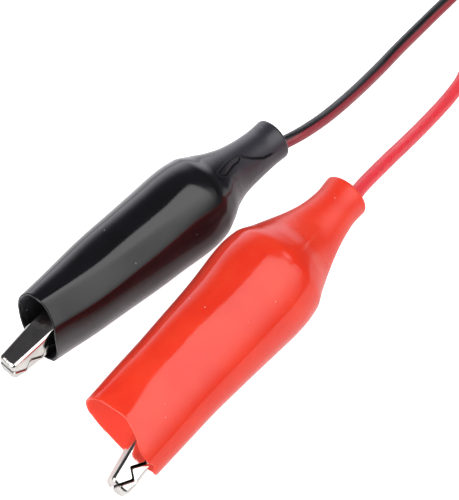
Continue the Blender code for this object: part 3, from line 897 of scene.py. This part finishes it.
def coil_points():
    """The wound turns: clockwise from the side nearest the plug, each lying on the one before it."""
    points = []
    steps = COIL_TURNS * 48
    for i in range(steps + 1):
        turned = 360.0 * COIL_TURNS * i / steps
        turn, part = divmod(turned, 360.0)
        if i == steps:
            turn, part = COIL_TURNS - 1, 360.0
        climb = float(smoothstep(*COIL_CLIMB, part))
        over_tie = TIE_THICKNESS * math.exp(-(((part - 180.0) / 22.0) ** 2))
        angle = math.radians(90.0 - turned)
        height = FLEX_HEIGHT + COIL_PITCH * (turn + climb) + over_tie
        x = COIL_CENTRE[0] + COIL_RADIUS * math.cos(angle)
        points.append((x, COIL_CENTRE[1] + COIL_RADIUS * math.sin(angle), height))
    return points


def twin():
    """The two cores side by side: from the split into the coil, round its turns and out to the plug."""
    path = smooth_route([*TWIN_ROUTE, *coil_points(), *TAIL_ROUTE], FLEX_STEP)
    radius = FLEX_THICKNESS / 2
    left = arc((radius, 0.0), radius, -150.0, 150.0, 17)
    right = [(-y, -z) for y, z in left]
    obj = swept("twin_flex_cord", path, left + right)
    mark(obj, "side", np.tile([1.0] * len(left) + [0.0] * len(right), len(path)))
    return obj, path


def tie():
    """A strip of vinyl bent round the coil's turns."""
    middle = COIL_CENTRE[1] - COIL_RADIUS
    half = FLEX_WIDTH / 2 + TIE_THICKNESS / 2 + 0.05
    low = TIE_THICKNESS / 2 + 0.02
    top = FLEX_HEIGHT + TIE_THICKNESS + COIL_PITCH * (COIL_TURNS - 1) + FLEX_THICKNESS / 2
    high = top + TIE_THICKNESS / 2
    corner = 0.8
    loop = []
    for y, z, start in (
        (half - corner, low + corner, -90.0), (half - corner, high - corner, 0.0),
        (-half + corner, high - corner, 90.0), (-half + corner, low + corner, 180.0),
    ):
        loop += arc((middle + y, z), corner, start, start + 90.0, 8)
    loop = np.array(loop)
    ahead = np.roll(loop, -1, axis=0) - np.roll(loop, 1, axis=0)
    ahead /= np.linalg.norm(ahead, axis=1)[:, None]
    outwards = np.stack([ahead[:, 1], -ahead[:, 0]], axis=1)
    rings = []
    for spot, out in zip(loop, outwards):
        rings.append([(COIL_CENTRE[0] + x, *(spot + out * depth)) for x, depth in strip_section()])
    return ringed("coil_tie_band", rings, closed=True)


def strip_section():
    """The tie's section: a strip with a wire in its middle and thin, rounded edges."""
    section = []
    for share in np.linspace(-1.0, 1.0, 13):
        thick = TIE_THICKNESS / 2 * (0.45 + 0.55 * math.exp(-((share / 0.3) ** 2)))
        section.append((share * TIE_WIDTH / 2, thick))
    return section + [(x, -depth) for x, depth in reversed(section)]


# ---- plug


def turned(name, profile, sides, ribs=None):
    """A body turned about X from (x, radius) pairs that run once round its outline, on the plug's axis."""
    rings = []
    for i in range(sides):
        angle = 2 * math.pi * i / sides
        ring = []
        for x, radius in profile:
            out = radius + (ribs(x, radius, angle) if ribs else 0.0)
            ring.append((x, out * math.cos(angle), out * math.sin(angle)))
        rings.append(np.array(ring) + (*PLUG_ENTRY, PLUG_RADIUS))
    obj = ringed(name, rings, closed=True)
    obj.data.set_sharp_from_angle(angle=math.radians(40.0))
    return obj


def overmould_profile():
    """The grip's outline: a tapered relief with grooves, a shoulder, a waisted grip and a rounded end."""
    outline = []
    for x in np.arange(0.0, RELIEF_LENGTH, 0.18):
        taper = 2.35 + 1.35 * (x / RELIEF_LENGTH) ** 1.3
        groove = 0.42 * float(smoothstep(0.35, 0.75, 0.5 + 0.5 * math.cos(2 * math.pi * (x - 1.0) / 1.9)))
        if x < 1.2 or x > RELIEF_LENGTH - 1.0:
            groove = 0.0
        outline.append((x, taper - groove))
    outline += arc((RELIEF_LENGTH + 1.2, 3.75), (-1.2, 0.75), 0.0, 90.0, 8)
    for x in np.arange(RELIEF_LENGTH + 1.6, OVERMOULD_LENGTH - 1.0, 0.3):
        share = (x - RELIEF_LENGTH) / (OVERMOULD_LENGTH - RELIEF_LENGTH)
        outline.append((x, PLUG_RADIUS - 0.28 * math.sin(math.pi * share) ** 2))
    outline += arc((OVERMOULD_LENGTH - 0.8, PLUG_RADIUS - 0.8), 0.8, 90.0, 0.0, 7)
    bore = BARREL_RADIUS + 0.04
    socket = OVERMOULD_LENGTH - 4.0
    return outline + [(OVERMOULD_LENGTH, bore), (socket, bore), (socket, 1.2), (0.6, 1.2), (0.15, 1.9)]


def grip_ribs(x, radius, angle):
    """Straight ribs along the grip, on its two broad sides."""
    if radius < 3.9 or x > OVERMOULD_LENGTH - 0.9:
        return 0.0
    along = float(smoothstep(RELIEF_LENGTH + 3.0, RELIEF_LENGTH + 4.4, x) * smoothstep(27.4, 26.0, x))
    wave = float(smoothstep(0.25, 0.75, 0.5 + 0.5 * math.cos(18 * angle)))
    return -0.3 * along * wave


def tube_profile(start, end, bore, radius, chamfer):
    """A tube's outline, with its free end's outer and inner edges rounded off."""
    eased = chamfer * 0.3
    return [
        (start, bore), (start, radius), (end - chamfer, radius), (end - eased, radius - eased),
        (end, radius - chamfer), (end, bore + chamfer * 0.6), (end - chamfer, bore),
    ]


def plug():
    """The plug's pieces, from the grip to the centre contact."""
    grip_end = OVERMOULD_LENGTH
    tip = grip_end + BARREL_LENGTH
    root = grip_end - 3.7
    sleeve = tube_profile(root, tip, BARREL_RADIUS - 0.35, BARREL_RADIUS, 0.28)
    lining = tube_profile(root, tip - 0.35, BARREL_RADIUS - 1.0, BARREL_RADIUS - 0.37, 0.15)
    contact = tube_profile(grip_end - 3.0, tip - 0.8, 1.05, 1.35, 0.14)
    return (
        turned("plug_grip", overmould_profile(), 144, grip_ribs),
        turned("plug_barrel_sleeve", sleeve, 96),
        turned("plug_lining", lining, 80),
        turned("plug_contact", contact, 64),
    )


# ---- set: camera, floor and lights


def look_direction():
    tilt, turn = math.radians(CAMERA_ELEVATION), math.radians(CAMERA_HEADING)
    flat = math.cos(tilt)
    return Vector((flat * math.cos(turn), flat * math.sin(turn), -math.sin(tilt)))


def add_camera():
    forward = look_direction()
    right = forward.cross(Vector((0, 0, 1))).normalized()
    up = right.cross(forward)
    data = bpy.data.cameras.new("Camera")
    data.sensor_fit = "VERTICAL"
    data.sensor_width = SENSOR
    data.sensor_height = SENSOR
    data.lens = LENS
    data.clip_start = 0.01
    camera = linked("Camera", data)
    place = Vector(CAMERA_TARGET) * MM - forward * CAMERA_DISTANCE * MM
    turn = Matrix((right, up, -forward)).transposed().to_4x4()
    camera.matrix_world = Matrix.Translation(place) @ turn
    bpy.context.scene.camera = camera


def softbox(name, direction, distance, width, height, radiance, long_axis, roll=0.0, fade=0.0):
    """A rectangular light that faces the clips from a direction, with its width along long_axis.

    It is rolled by that many degrees, and fades out over that share of its height above its lower edge.
    """
    direction = Vector(direction).normalized()
    data = bpy.data.lights.new(name, "AREA")
    data.shape = "RECTANGLE"
    data.size = width
    data.size_y = height
    data.energy = radiance * math.pi * width * height
    light = linked(name, data)
    along = Vector(long_axis)
    along = (along - direction * along.dot(direction)).normalized()
    along = Matrix.Rotation(math.radians(roll), 3, direction) @ along
    turn = Matrix((along, direction.cross(along), direction)).transposed().to_4x4()
    light.matrix_world = Matrix.Translation(direction * distance) @ turn
    light.visible_camera = False
    if fade:
        data.use_nodes = True
        made = Nodes(data.node_tree)
        split = made.node("ShaderNodeSeparateXYZ")
        made.link(made.node("ShaderNodeNewGeometry").outputs["Parametric"], split.inputs["Vector"])
        strength = made.ramp(split.outputs["Y"], (0.0, 0.1), (fade, 1.0))
        made.link(strength, data.node_tree.nodes["Emission"].inputs["Strength"])


def add_floor():
    """A white sweep, pale by its own light too, so that only soft traces of shadow show on it."""
    corners = [(x * FLOOR_REACH, y * FLOOR_REACH, 0.0) for x, y in ((-1, -1), (1, -1), (1, 1), (-1, 1))]
    obj = put_in_scene("floor", corners, [(0, 1, 2, 3)])
    if obj.data.polygons[0].normal.z < 0:
        obj.data.flip_normals()
    finish = Finish("white sweep", 0.7, specular=0.0)
    finish.set("Base Color", finish.mix(finish.noise(0.6, 3.0), (0.78, 0.78, 0.78), (0.80, 0.80, 0.80)))
    finish.set("Emission Color", WHITE)
    seen = finish.node("ShaderNodeLightPath").outputs["Is Camera Ray"]
    finish.set("Emission Strength", finish.ramp(seen, (0.0, 0.2), (1.0, 1.0)))
    finish.on(obj)


def add_world():
    """A dim room with a bright far wall behind the leads. The camera itself sees plain white."""
    world = bpy.data.worlds.new("Studio")
    bpy.context.scene.world = world
    world.use_nodes = True
    world.node_tree.nodes.clear()
    made = Nodes(world.node_tree)
    around = made.node("ShaderNodeTexCoord").outputs["Generated"]
    split = made.node("ShaderNodeSeparateXYZ")
    made.link(around, split.inputs["Vector"])
    height = split.outputs["Z"]
    along = made.node("ShaderNodeVectorMath", operation="DOT_PRODUCT")
    along.inputs[1].default_value = FAR_WALL
    made.link(around, along.inputs[0])
    beyond = made.ramp(along.outputs["Value"], (0.66, 0.0), (0.92, 1.9))
    far_wall = made.math("MULTIPLY", beyond, made.ramp(height, (0.08, 1.0), (0.82, 0.0)))
    horizon = made.ramp(height, (0.02, 0.14), (0.30, 0.06))
    room = made.node("ShaderNodeBackground")
    room.inputs["Color"].default_value = ROOM_COLOUR
    made.link(made.math("ADD", far_wall, horizon), room.inputs["Strength"])
    seen = made.node("ShaderNodeBackground")
    seen.inputs["Color"].default_value = WHITE
    mix = made.node("ShaderNodeMixShader")
    made.link(made.node("ShaderNodeLightPath").outputs["Is Camera Ray"], mix.inputs["Fac"])
    made.link(room.outputs["Background"], mix.inputs[1])
    made.link(seen.outputs["Background"], mix.inputs[2])
    made.link(mix.outputs["Shader"], made.node("ShaderNodeOutputWorld").inputs["Surface"])


def add_set():
    bpy.context.scene.view_settings.view_transform = "Standard"
    add_camera()
    add_floor()
    add_world()
    softbox(
        "key", (0.176, -0.638, 0.672), distance=0.5, width=0.514, height=0.84, radiance=2.4,
        long_axis=(1, 0, 0), roll=8.5, fade=0.55,
    )
    softbox(
        "fill", (-0.78, 0.12, 0.6), distance=0.6, width=0.5, height=0.5, radiance=3.4,
        long_axis=(0, 1, 0),
    )


# ---- assembly


def ride(obj, body, slot, *nodes):
    """Puts a piece on a body, in place of the CAD nodes it stands for. Its slot is not used."""
    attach(obj, body)
    if nodes:
        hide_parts(*nodes)


def add_clip(colour, frame, vinyl, nickel):
    """One clip's boot, jaws and crimp."""
    clip = ClipFrame(colour, frame)
    moving = colour + "_moving_jaw"
    sleeve = boot(clip)
    vinyl.on(sleeve)
    start, end = clip.place_metal([BEND_START, BEND_END]) * MM
    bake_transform(sleeve)
    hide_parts(colour + "_boot")
    upper = jaw(clip, "_upper_channel", UPPER_TOP, UPPER_EDGE, UPPER_HALF_WIDTH, 1.0)
    lower = jaw(clip, "_lower_channel", LOWER_BOTTOM, LOWER_EDGE, LOWER_HALF_WIDTH, -1.0)
    barrel = crimp(clip)
    nickel.on(upper, lower, barrel)
    ride(upper, moving, "clip_nickel", colour + "_upper_jaw")
    ride(lower, "root", "clip_nickel", colour + "_lower_jaw")
    ride(barrel, "root", "clip_nickel")
    return clip


def add_lead(clip, finish):
    obj, path = lead(clip)
    finish.on(obj)
    ride(obj, "root", clip.colour + "_lead_vinyl", clip.colour + "_lead")


def add_twin_and_plug():
    """The joined flex, its coil's band and the plug on its end."""
    flex, path = twin()
    cord_vinyl("twin flex vinyl", (0.012, 0.012, 0.014), (0.70, 0.03, 0.05)).on(flex)
    ride(flex, "root", "twin_flex_vinyl", "twin_flex", "flex_coil", "twin_flex_end")
    band = tie()
    moulded("tie vinyl", (0.018, 0.018, 0.02), (0.06, 0.06, 0.06), 0.35, 0.25, 0.006).on(band)
    ride(band, "root", "tie_vinyl", "coil_tie")
    grip, barrel, lining, contact = plug()
    moulded("plug vinyl", (0.014, 0.014, 0.015), (0.035, 0.035, 0.036), 0.42).on(grip)
    plated("barrel nickel", (0.80, 0.78, 0.74), (0.66, 0.64, 0.60), 0.16).on(barrel)
    moulded("lining plastic", (0.03, 0.03, 0.032), (0.07, 0.07, 0.07), 0.4, 0.3, 0.004).on(lining)
    plated("contact brass", (0.82, 0.66, 0.36), (0.62, 0.46, 0.22), 0.2).on(contact)
    ride(grip, "root", "plug_vinyl", "plug_overmould")
    ride(barrel, "root", "barrel_nickel", "plug_barrel")
    ride(lining, "root", "lining_plastic", "plug_insulator")
    ride(contact, "root", "contact_brass", "plug_centre_contact")


def spring(clip):
    """The torsion spring on the rivet, in place of the CAD spring. Like the CAD spring's, its upper leg does
    not follow the lever.
    """
    round_pin = arc(PIVOT, SPRING_COIL, SPRING_START, SPRING_START - 360.0 * SPRING_TURNS, SPRING_POINTS)
    across = np.linspace(-SPRING_HALF_WIDTH, SPRING_HALF_WIDTH, SPRING_POINTS)
    coil = [(x, y, z) for (x, z), y in zip(round_pin, across)]
    upper = [(x, -SPRING_HALF_WIDTH, z) for x, z in SPRING_UPPER_LEG]
    lower = [(x, SPRING_HALF_WIDTH, z) for x, z in SPRING_LOWER_LEG]
    path = np.array([*upper, *coil, *lower])
    section = circle(SPRING_WIRE, 10)
    obj = swept(clip.colour + "_spring_wire", path, section, upright=(0.0, 1.0, 0.0), place=clip.place_metal)
    start, end = clip.place_metal([(PIVOT[0], 0.0, PIVOT[1] + z) for z in SPRING_BEND]) * MM
    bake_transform(obj)
    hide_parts(clip.colour + "_jaw_spring")
    return obj


def add_springs_and_hidden_metal(nodes, clips):
    """The springs, and materials for the CAD pieces that show only through the boots' mouths and necks."""
    rivet = plated("rivet steel", (0.72, 0.71, 0.69), (0.50, 0.49, 0.47), 0.25)
    steel = plated("spring steel", (0.46, 0.45, 0.43), (0.30, 0.29, 0.28), 0.3, 0.06)
    copper = plated("copper strand", (0.85, 0.45, 0.27), (0.55, 0.24, 0.13), 0.28, 0.08)
    for clip in clips:
        rivet.on(nodes[clip.colour + "_pivot_rivet"])
        steel.on(spring(clip))
        copper.on(nodes[clip.colour + "_conductor"])


def main():
    for obj in list(bpy.data.objects):
        bpy.data.objects.remove(obj, do_unlink=True)
    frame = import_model()
    add_set()
    nickel = plated("clip nickel", (0.83, 0.81, 0.77), (0.70, 0.68, 0.65), 0.11, 0.16, 0.008)
    # The black boot gets a painted haze on its neck and painted shade in its folds.
    black_vinyl = boot_vinyl(
        "black boot vinyl", (0.007, 0.007, 0.009), deep=(0.004, 0.004, 0.005), dust=(0.35, 0.35, 0.36),
        haze=0.8, specular=0.6, painted_neck_haze=(0.028, 0.027, 0.036),
    )
    # The red boot's inner skin gets a painted glow.
    red_vinyl = boot_vinyl(
        "red boot vinyl", (0.94, 0.056, 0.022), deep=(0.86, 0.042, 0.018), dust=(0.95, 0.55, 0.5),
        haze=0.12, subsurface=0.55, painted_glow=(0.25, 0.05, 0.037),
    )
    black = add_clip("black", frame, black_vinyl, nickel)
    red = add_clip("red", frame, red_vinyl, nickel)
    add_lead(black, cord_vinyl("black lead vinyl", (0.012, 0.012, 0.014), (0.34, 0.045, 0.06)))
    add_lead(red, cord_vinyl("red lead vinyl", (0.96, 0.055, 0.075), (0.92, 0.05, 0.07)))
    add_twin_and_plug()
    add_springs_and_hidden_metal(frame["nodes"], (black, red))


main()
